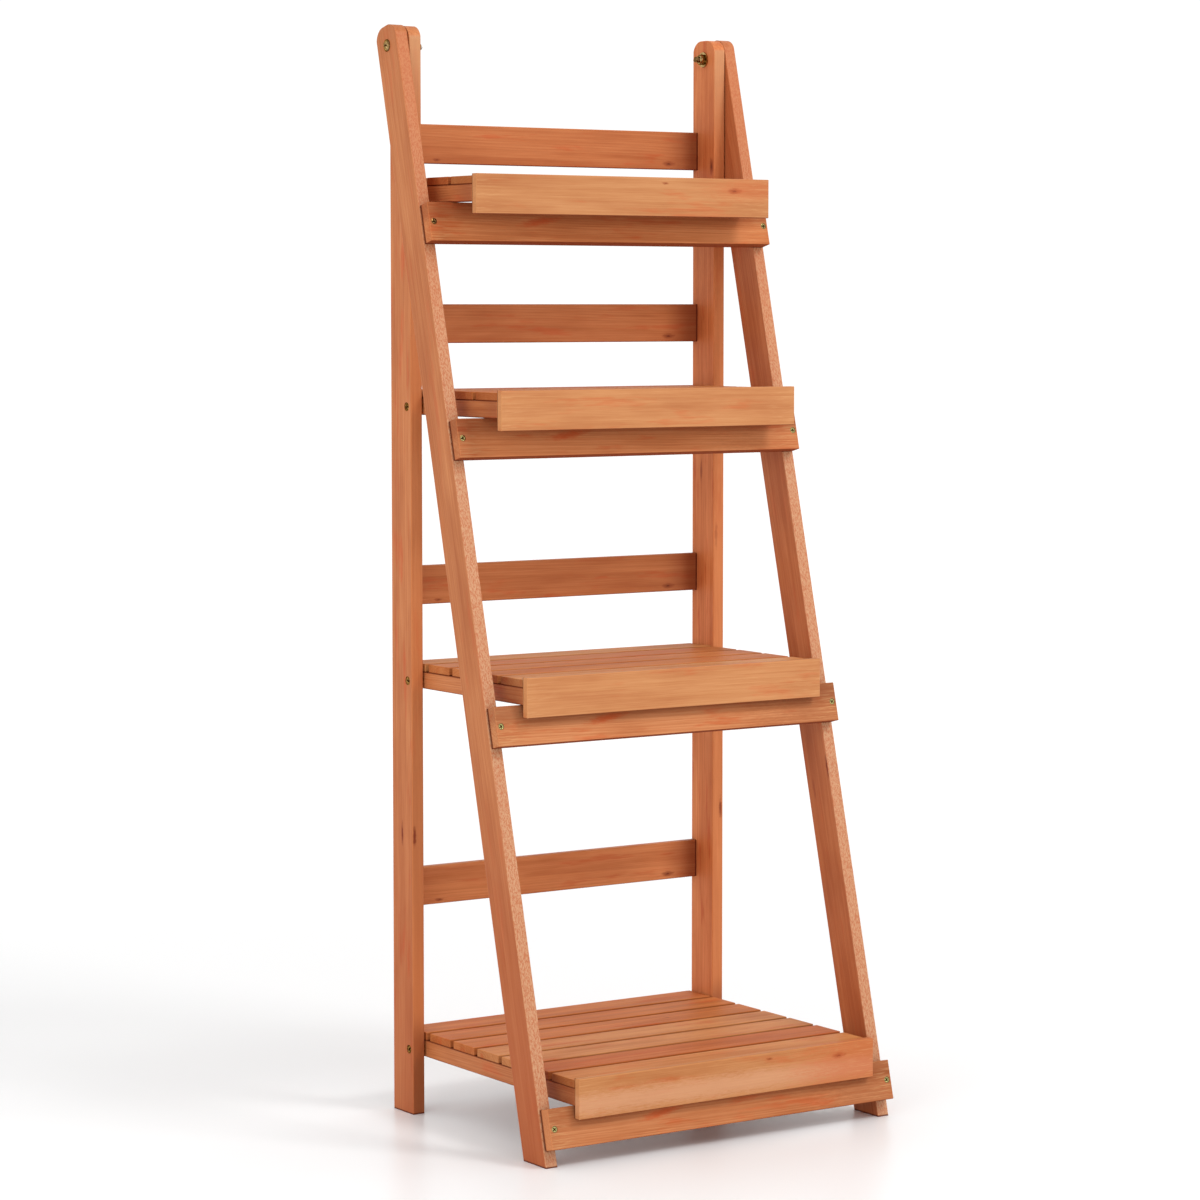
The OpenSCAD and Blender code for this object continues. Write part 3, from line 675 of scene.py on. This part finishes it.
# the seams along the slats' sides and backs are painted shade in the gaps
SLAT = dict(seams=(0, 0.4, 0.6), seam_width=1.4 * MM, gloss=0.04, flames=0.55, grain_share=0.85)
SLAT_TONES = ["russet", "tan", "orange", "orange", "orange", "salmon", "salmon"]
SLAT_LIFTS = {1: (1.04, 0.98, 0.85), 2: (1.04, 0.98, 0.85), 3: (1.05, 1.05, 0.94), 4: (1.04, 0.98, 0.85)}
SLAT_KNOTS = {"shelf_4_slat_3": [((72, 0, 0), 1.8)]}
FIRST_TONE = 4
for tier, fascia in enumerate(FASCIAS, 1):
    finish_board(f"shelf_{tier}_fascia", "upright", "tan", 31.9 + tier, heart=(0, 25 - 14 * tier, 46),
                 **fascia, **FASCIA)
    for side, heart in SIDE_HEARTS.items():
        finish_board(f"shelf_{tier}_side_rail_{side}", "side", "orange", 41.3 + tier, heart=heart, **SIDE_RAIL)
    slats = [n for n in frame["nodes"] if n.startswith(f"shelf_{tier}_slat_")]
    for node in slats:
        row = int(node.rsplit("_", 1)[1])
        turn = (row + tier + FIRST_TONE) % len(SLAT_TONES)
        # the slats' end faces are darkened, the front slat's more, as painted shade of the front leg
        finish_board(node, "flat", SLAT_TONES[turn], 53.7 + 3 * row + 17 * tier, heart=(0, -34 + 11 * turn, -26),
                     slope=0.03 - 0.008 * turn, lift=SLAT_LIFTS[tier], knots=SLAT_KNOTS.get(node, ()),
                     end_lift=-0.5 if row == len(slats) else -0.2, **SLAT)
print(len(finished), "boards finished in all")

# %% [markdown]
# ## Yellow zinc
# The bolts, nuts, washers and screws are steel with a thin yellow zinc plating. It is a metal, so its colour
# sits in the reflection, and the plating bath leaves it slightly cloudy, from straw to green. Two attributes
# of the meshes say where shade is painted dark, in recesses, at rims and on threads, and how brown a head is made.

# %% The plated metal and the dowels
# the first colour makes a head browner, the second is painted shade in recesses, at rims and on threads
BROWN_TONE, METAL_SHADE = (0.20, 0.085, 0.025, 1), (0.070, 0.020, 0.006, 1)
RIM_TINT = (0.45, 0.33, 0.16, 1)


def build_cloudy_plate():
    t, given, out = new_group("cloudy_plate", [
        ("Straw", COLOUR, (0.42, 0.33, 0.10, 1)), ("Green", COLOUR, (0.23, 0.24, 0.075, 1)),
        ("Cloud Size", FLOAT, 2 * MM),
    ], [("Color", COLOUR), ("Roughness", FLOAT), ("Height", FLOAT)])
    seen = add_node(t, "ShaderNodeTexCoord").outputs["Object"]
    scaled = vector_calc(t, "SCALE", seen)
    t.links.new(calc(t, "DIVIDE", 1.0, given["Cloud Size"]), scaled.node.inputs["Scale"])
    cloud = add_node(t, "ShaderNodeTexNoise", {"Vector": scaled, "Scale": 1.0, "Detail": 3.0}).outputs["Fac"]
    grit = add_node(t, "ShaderNodeTexNoise", {"Vector": scaled, "Scale": 9.0, "Detail": 2.0}).outputs["Fac"]
    t.links.new(mix_colour(t, fade(t, cloud, 0.35, 0.65), given["Straw"], given["Green"]), out["Color"])
    t.links.new(fade(t, cloud, 0.3, 0.7, 0.12, 0.24), out["Roughness"])
    t.links.new(grit, out["Height"])
    return t


def plated(name, straw, green):
    material, tree, shader = new_material(name)
    plate = add_node(tree, "ShaderNodeGroup", {"Straw": straw, "Green": green}, node_tree=cloudy_plate)
    brown_share = add_node(tree, "ShaderNodeAttribute", attribute_name="brown_share").outputs["Fac"]
    dirt = add_node(tree, "ShaderNodeAttribute", attribute_name="dirt").outputs["Fac"]
    # heads made browner by the share given for each point
    colour = mix_colour(tree, brown_share, plate.outputs["Color"], BROWN_TONE)
    # darker where the meshes paint shade in recesses, at rims and on threads
    tree.links.new(mix_colour(tree, dirt, colour, METAL_SHADE), shader.inputs["Base Color"])
    tree.links.new(plate.outputs["Roughness"], shader.inputs["Roughness"])
    bump = add_node(tree, "ShaderNodeBump", {
        "Strength": 0.2, "Distance": 0.05 * MM, "Height": plate.outputs["Height"]})
    tree.links.new(bump.outputs["Normal"], shader.inputs["Normal"])
    shader.inputs["Metallic"].default_value = 1.0
    shader.inputs["Specular Tint"].default_value = RIM_TINT
    return material


cloudy_plate = build_cloudy_plate()
yellow_zinc = plated("yellow_zinc", (0.60, 0.41, 0.18, 1), (0.25, 0.15, 0.05, 1))
screw_zinc = plated("screw_zinc", (0.62, 0.55, 0.22, 1), (0.40, 0.40, 0.15, 1))
aged_zinc = plated("aged_zinc", (0.60, 0.38, 0.13, 1), (0.12, 0.055, 0.015, 1))
for node, piece in frame["nodes"].items():
    if node not in finished and node != "back_rail_dowels":
        piece.data.materials.clear()
        piece.data.materials.append(yellow_zinc)
finish_board("back_rail_dowels", "upright", "tan", 71.0, half=(1, 1, 1), lift=1.4)
print("plated pieces and dowels finished")

# %% [markdown]
# ## Screws, bolts and lock nuts
# A screw head is turned on a lathe and then struck with a crossed punch. The mesh is made in the same order:
# rings round the axis, and the height of every point on the face is lowered where the cross is. The nuts are
# hexagons whose corners the chamfer cuts off, so each flat ends in an arc.
#
# The heads repeat, so a Geometry Nodes tree puts one head on every point. Each point says which way its head
# faces, and a seed turns the crosses by chance, because nobody lines them up. The result is made real and
# baked, since the export leaves instances out.

# %% Turned heads
SLOT_TO_ARM, WALL_SHARE, RISE = 6.6, 0.7, 0.45
# how dark the painted shade is in the cross, near the rim and on the shank
RECESS_SHADE, RIM_SHADE, SHANK_SHADE = 0.9, 0.85, 0.75
RIM_FROM, RIM_POWER, RECESS_GAIN = 0.7, 1.5, 1.6
SHARP_ANGLE = math.radians(38)


def cross_depth(x, y, slot, depth):
    """How deep the cross is at a point: its walls slope, and its floor rises towards the ends of the arms."""
    arm, reach = slot / SLOT_TO_ARM, slot / 2
    inside = max(min(arm - abs(y), reach - abs(x)), min(arm - abs(x), reach - abs(y)))
    return depth * min(1, max(0, inside / (arm * WALL_SHARE))) * (1 - RISE * math.hypot(x, y) / reach)


def ring_of(mesh, radius_at, height_at, steps):
    angles = [math.tau * step / steps for step in range(steps)]
    return [mesh.verts.new((radius_at(a) * math.cos(a), radius_at(a) * math.sin(a), height_at(a))) for a in angles]


def bridge(mesh, rings):
    for inner, outer in zip(rings, rings[1:]):
        for step in range(len(inner)):
            after = (step + 1) % len(inner)
            mesh.faces.new((inner[step], outer[step], outer[after], inner[after]))


def turned_head(name, radius, dome, slot, depth, profile, steps=72, rows=18):
    """Solid round +Z: a domed face with a crossed recess, then the rings of the profile as (radius, height)."""
    mesh = bmesh.new()
    dirt = mesh.verts.layers.float.new("dirt")
    top = mesh.verts.new((0, 0, dome - depth))
    top[dirt] = RECESS_SHADE
    rings = []
    for row in range(1, rows + 1):
        share = row / rows
        ring = []
        for step in range(steps):
            angle = math.tau * step / steps
            x, y = share * radius * math.cos(angle), share * radius * math.sin(angle)
            cut = cross_depth(x, y, slot, depth)
            ring.append(mesh.verts.new((x, y, dome * (1 - share ** 2) - cut)))
            # painted shade in the cross and near the rim
            in_recess = min(RECESS_SHADE, RECESS_GAIN * cut / depth)
            near_rim = RIM_SHADE * max(0, (share - RIM_FROM) / (1 - RIM_FROM)) ** RIM_POWER
            ring[-1][dirt] = max(in_recess, near_rim)
        rings.append(ring)
    for ring_radius, height in profile:
        rings.append(ring_of(mesh, lambda a: ring_radius, lambda a: height, steps))
        for vertex in rings[-1]:
            vertex[dirt] = SHANK_SHADE
    bridge(mesh, rings)
    for step in range(steps):
        mesh.faces.new((top, rings[0][step], rings[0][(step + 1) % steps]))
    mesh.faces.new(list(reversed(rings[-1])))
    return finished_mesh(name, mesh)


def finished_mesh(name, mesh):
    bmesh.ops.recalc_face_normals(mesh, faces=mesh.faces)
    data = bpy.data.meshes.new(name)
    mesh.to_mesh(data)
    mesh.free()
    data.shade_smooth()
    data.set_sharp_from_angle(angle=SHARP_ANGLE)
    return data


def lock_nut(name, flats, height, collar, bore, steps=96):
    """Hexagon from z = 0 up to the collar, its corners chamfered, with a round collar on top and a bore."""
    half = flats / 2
    chamfer = half * 0.97
    shoulder = height - collar
    slope = math.tan(math.radians(30))

    def corner(angle):
        return half / math.cos((angle + math.pi / 6) % (math.pi / 3) - math.pi / 6)

    def circle(radius, level, amount):
        return lambda a: radius, lambda a: level, amount

    mesh = bmesh.new()
    dirt = mesh.verts.layers.float.new("dirt")
    rings = []
    # each ring: its radius, its height and how dark its painted shade is
    for radius_at, height_at, amount in (
            circle(bore, 0, 0.9),
            circle(chamfer, 0, 0.9),
            (corner, lambda a: (corner(a) - chamfer) * slope, 0.8),
            (corner, lambda a: shoulder - (corner(a) - chamfer) * slope, 0.1),
            circle(chamfer, shoulder, 0.8),
            circle(half * 0.93, shoulder + collar * 0.25, 0.7),
            circle(half * 0.9, height - collar * 0.3, 0.0),
            circle(half * 0.8, height, 0.1),
            circle(bore, height, 0.9)):
        rings.append(ring_of(mesh, radius_at, height_at, steps))
        for vertex in rings[-1]:
            vertex[dirt] = amount
    bridge(mesh, rings + rings[:1])
    return finished_mesh(name, mesh)


print("heads and nuts can be made")

# %% The trees that put heads on points and wind threads
COIL_STEPS, RIDGE_SIDES, THREAD_SHADE = 48, 3, 0.3


def build_head_scatter():
    tree, given, out = new_group("head_scatter", [
        ("Points", GEOMETRY, None), ("Head", OBJECT, None), ("Scale", FLOAT, 1.0),
        ("Seed", "NodeSocketInt", 0), ("Material", MATERIAL, None)], [("Heads", GEOMETRY)], "GeometryNodeTree")
    head = add_node(tree, "GeometryNodeObjectInfo", {"Object": given["Head"]}).outputs["Geometry"]
    facing = add_node(tree, "GeometryNodeInputNamedAttribute", {"Name": "facing"}, data_type="FLOAT_VECTOR")
    stood = add_node(tree, "FunctionNodeAlignRotationToVector", {"Vector": facing.outputs["Attribute"]}, axis="Z")
    # sockets 2 and 3 are the least and the greatest value of a random number, and 8 is its seed
    chance = add_node(tree, "FunctionNodeRandomValue", {2: 0.0, 3: math.tau, 8: given["Seed"]}, data_type="FLOAT")
    about = add_node(tree, "ShaderNodeCombineXYZ", {2: chance.outputs[1]})
    turn = add_node(tree, "FunctionNodeEulerToRotation", {0: about.outputs[0]})
    turned = add_node(tree, "FunctionNodeRotateRotation", {
        0: stood.outputs[0], 1: turn.outputs[0]}, rotation_space="LOCAL")
    placed = add_node(tree, "GeometryNodeInstanceOnPoints", {
        "Points": given["Points"], "Instance": head, "Rotation": turned.outputs[0], "Scale": given["Scale"]})
    solid = add_node(tree, "GeometryNodeRealizeInstances", {0: placed.outputs[0]})
    painted = add_node(tree, "GeometryNodeSetMaterial", {
        "Geometry": solid.outputs[0], "Material": given["Material"]})
    tree.links.new(painted.outputs[0], out["Heads"])
    return tree


def build_thread_coil():
    tree, given, out = new_group("thread_coil", [
        ("Base", GEOMETRY, None), ("Radius", FLOAT, 3 * MM), ("Pitch", FLOAT, 1 * MM), ("Turns", FLOAT, 5.0),
        ("Ridge", FLOAT, 0.3 * MM), ("Material", MATERIAL, None)], [("Thread", GEOMETRY)], "GeometryNodeTree")
    length = calc(tree, "MULTIPLY", given["Pitch"], given["Turns"])
    coil = add_node(tree, "GeometryNodeCurveSpiral", {
        "Resolution": COIL_STEPS, "Rotations": given["Turns"], "Start Radius": given["Radius"],
        "End Radius": given["Radius"], "Height": length})
    ridge = add_node(tree, "GeometryNodeCurvePrimitiveCircle", {
        "Resolution": RIDGE_SIDES, "Radius": given["Ridge"]})
    rod = add_node(tree, "GeometryNodeCurveToMesh", {0: coil.outputs[0], 1: ridge.outputs[0], "Fill Caps": True})
    # the whole thread is darkened as painted shade
    shaded_rod = add_node(tree, "GeometryNodeStoreNamedAttribute", {
        "Geometry": rod.outputs[0], "Name": "dirt", "Value": THREAD_SHADE}, data_type="FLOAT", domain="POINT")
    solid = add_node(tree, "GeometryNodeRealizeInstances", {0: shaded_rod.outputs[0]})
    painted = add_node(tree, "GeometryNodeSetMaterial", {
        "Geometry": solid.outputs[0], "Material": given["Material"]})
    tree.links.new(painted.outputs[0], out["Thread"])
    return tree


def grown(name, mesh, tree, **inputs):
    """A mesh object that the tree has turned into plain geometry."""
    piece = bpy.data.objects.new(name, mesh)
    scene.collection.objects.link(piece)
    modifier = piece.modifiers.new(tree.name, "NODES")
    modifier.node_group = tree
    sockets = {item.name: item.identifier for item in tree.interface.items_tree if item.in_out == "INPUT"}
    for label, value in inputs.items():
        modifier[sockets[label]] = value
    ready = piece.evaluated_get(bpy.context.evaluated_depsgraph_get())
    plain = bpy.data.meshes.new_from_object(ready)
    piece.modifiers.clear()
    piece.data = plain
    plain.name = name
    return piece


head_scatter, thread_coil = build_head_scatter(), build_thread_coil()
print("trees:", head_scatter.name, "and", thread_coil.name)

# %% Where the heads sit
def heads_on(name, head_mesh, places, body, node, seed, metal, brown_shares=()):
    """places are pairs of a point and the way its head faces; the last argument says how brown each head is made."""
    pattern = bpy.data.objects.new(name + "_pattern", head_mesh)
    scene.collection.objects.link(pattern)
    points = bpy.data.meshes.new(name + "_points")
    points.from_pydata([point for point, way in places], [], [])
    facing = points.attributes.new("facing", "FLOAT_VECTOR", "POINT")
    for item, (point, way) in zip(facing.data, places):
        item.vector = way
    brown_layer = points.attributes.new("brown_share", "FLOAT", "POINT")
    for item, share in zip(brown_layer.data, brown_shares):
        item.value = share
    piece = grown(name, points, head_scatter, Head=pattern, Scale=1.0, Seed=seed, Material=metal)
    bpy.data.objects.remove(pattern)
    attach(piece, body)
    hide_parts(node)
    print(name, "has", len(places), "heads and", len(piece.data.polygons), "faces")


SUNK = 0.45 * MM
rail_out = Vector((1, 0, 0)).cross(-down_leg)
rail_screw = turned_head("rail_screw", radius=3.05 * MM, dome=0.15 * MM, slot=4.5 * MM, depth=1.3 * MM, profile=[
    (3.0 * MM, -0.5 * MM), (1.7 * MM, -1.9 * MM), (1.7 * MM, -30 * MM), (0.3 * MM, -32 * MM)])
places = []
for tier in range(1, 5):
    face = middle(f"front_rail_{tier}") + rail_out * (FRONT_RAIL_HALF[2] - SUNK)
    for side in ("left", "right"):
        places.append(((middle("front_leg_" + side).x, face.y, face.z), rail_out))
heads_on("rail_screw_heads", rail_screw, places, "front_frame", "front_rail_screws", 5, screw_zinc,
         brown_shares=(0.85, 0.4, 0.2))

shelf_screw = turned_head("shelf_screw", radius=4.3 * MM, dome=0.2 * MM, slot=6.6 * MM, depth=2.2 * MM, profile=[
    (4.25 * MM, -0.5 * MM), (2.2 * MM, -2.7 * MM), (2.2 * MM, -24 * MM), (0.3 * MM, -26.4 * MM)])
for tier in range(1, 5):
    node = f"shelf_{tier}_pivot_screws"
    (low, high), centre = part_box(node), middle(node)
    places = [((low.x + SUNK, centre.y, centre.z), (-1, 0, 0)), ((high.x - SUNK, centre.y, centre.z), (1, 0, 0))]
    heads_on(f"shelf_{tier}_screw_heads", shelf_screw, places, f"shelf_{tier}", node, 10 + tier, aged_zinc,
             brown_shares=(0.3, 0.2))

# %% Bolts with threads, and their lock nuts
BOLT_HEAD, BOLT_HEAD_HIGH, BOLT_SHANK, BOLT_ROOT = 6.25 * MM, 3 * MM, 3 * MM, 2.72 * MM
HEAD_RIM_HIGH = BOLT_HEAD_HIGH * 0.28
THREAD_PITCH, THREAD_RIDGE, TURNS_LEFT_BARE = 1.0 * MM, 0.36 * MM, 0.4
NUT_HIGH = 5.5 * MM
nut_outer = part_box("pivot_nuts")[1].x
nut_inner = nut_outer - NUT_HIGH
nut = lock_nut("lock_nut", flats=10 * MM, height=nut_outer - nut_inner, collar=1.4 * MM, bore=3.05 * MM)
heads_on("lock_nuts", nut, [((side * nut_outer, pivot.y, pivot.z), (-side, 0, 0)) for side in (-1, 1)],
         "rear_frame", "pivot_nuts", 3, yellow_zinc)
for name, side in (("left", -1), ("right", 1)):
    node = "pivot_bolt_" + name
    low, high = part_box(node)
    tip, crown = (high.x, low.x) if side < 0 else (low.x, high.x)
    seat = abs(crown) - BOLT_HEAD_HIGH
    length = seat - abs(tip)
    under_nut = abs(nut_inner) - seat
    bolt = turned_head("bolt_" + name, radius=BOLT_HEAD * 0.93, dome=BOLT_HEAD_HIGH * 0.72, slot=6.6 * MM,
                       depth=2.0 * MM, profile=[
        (BOLT_HEAD * 0.99, -0.25 * MM), (BOLT_HEAD, -0.7 * MM), (BOLT_HEAD, -HEAD_RIM_HIGH),
        (BOLT_SHANK, -HEAD_RIM_HIGH), (BOLT_SHANK, under_nut), (BOLT_ROOT, under_nut - 0.1 * MM),
        (BOLT_ROOT, 0.5 * MM - length), (BOLT_ROOT * 0.82, -length)])
    bolt.transform(Matrix.Translation((0, 0, HEAD_RIM_HIGH)))
    place = (side * seat, pivot.y, pivot.z)
    heads_on("bolt_" + name, bolt, [(place, (side, 0, 0))], "rear_frame", node, 7, yellow_zinc)
    turns = (abs(nut_inner) - abs(tip)) / THREAD_PITCH - TURNS_LEFT_BARE
    coil = grown(f"bolt_{name}_thread", bpy.data.meshes.new("coil_base"), thread_coil, Radius=BOLT_ROOT,
                 Pitch=THREAD_PITCH, Turns=turns, Ridge=THREAD_RIDGE, Material=yellow_zinc)
    along = Vector((side, 0, 0)).to_track_quat("Z", "Y").to_matrix().to_4x4()
    start = tip + side * TURNS_LEFT_BARE * THREAD_PITCH
    coil.data.transform(Matrix.Translation((start, pivot.y, pivot.z)) @ along)
    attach(coil, "rear_frame")
    print(coil.name, "has", round(turns, 1), "turns")
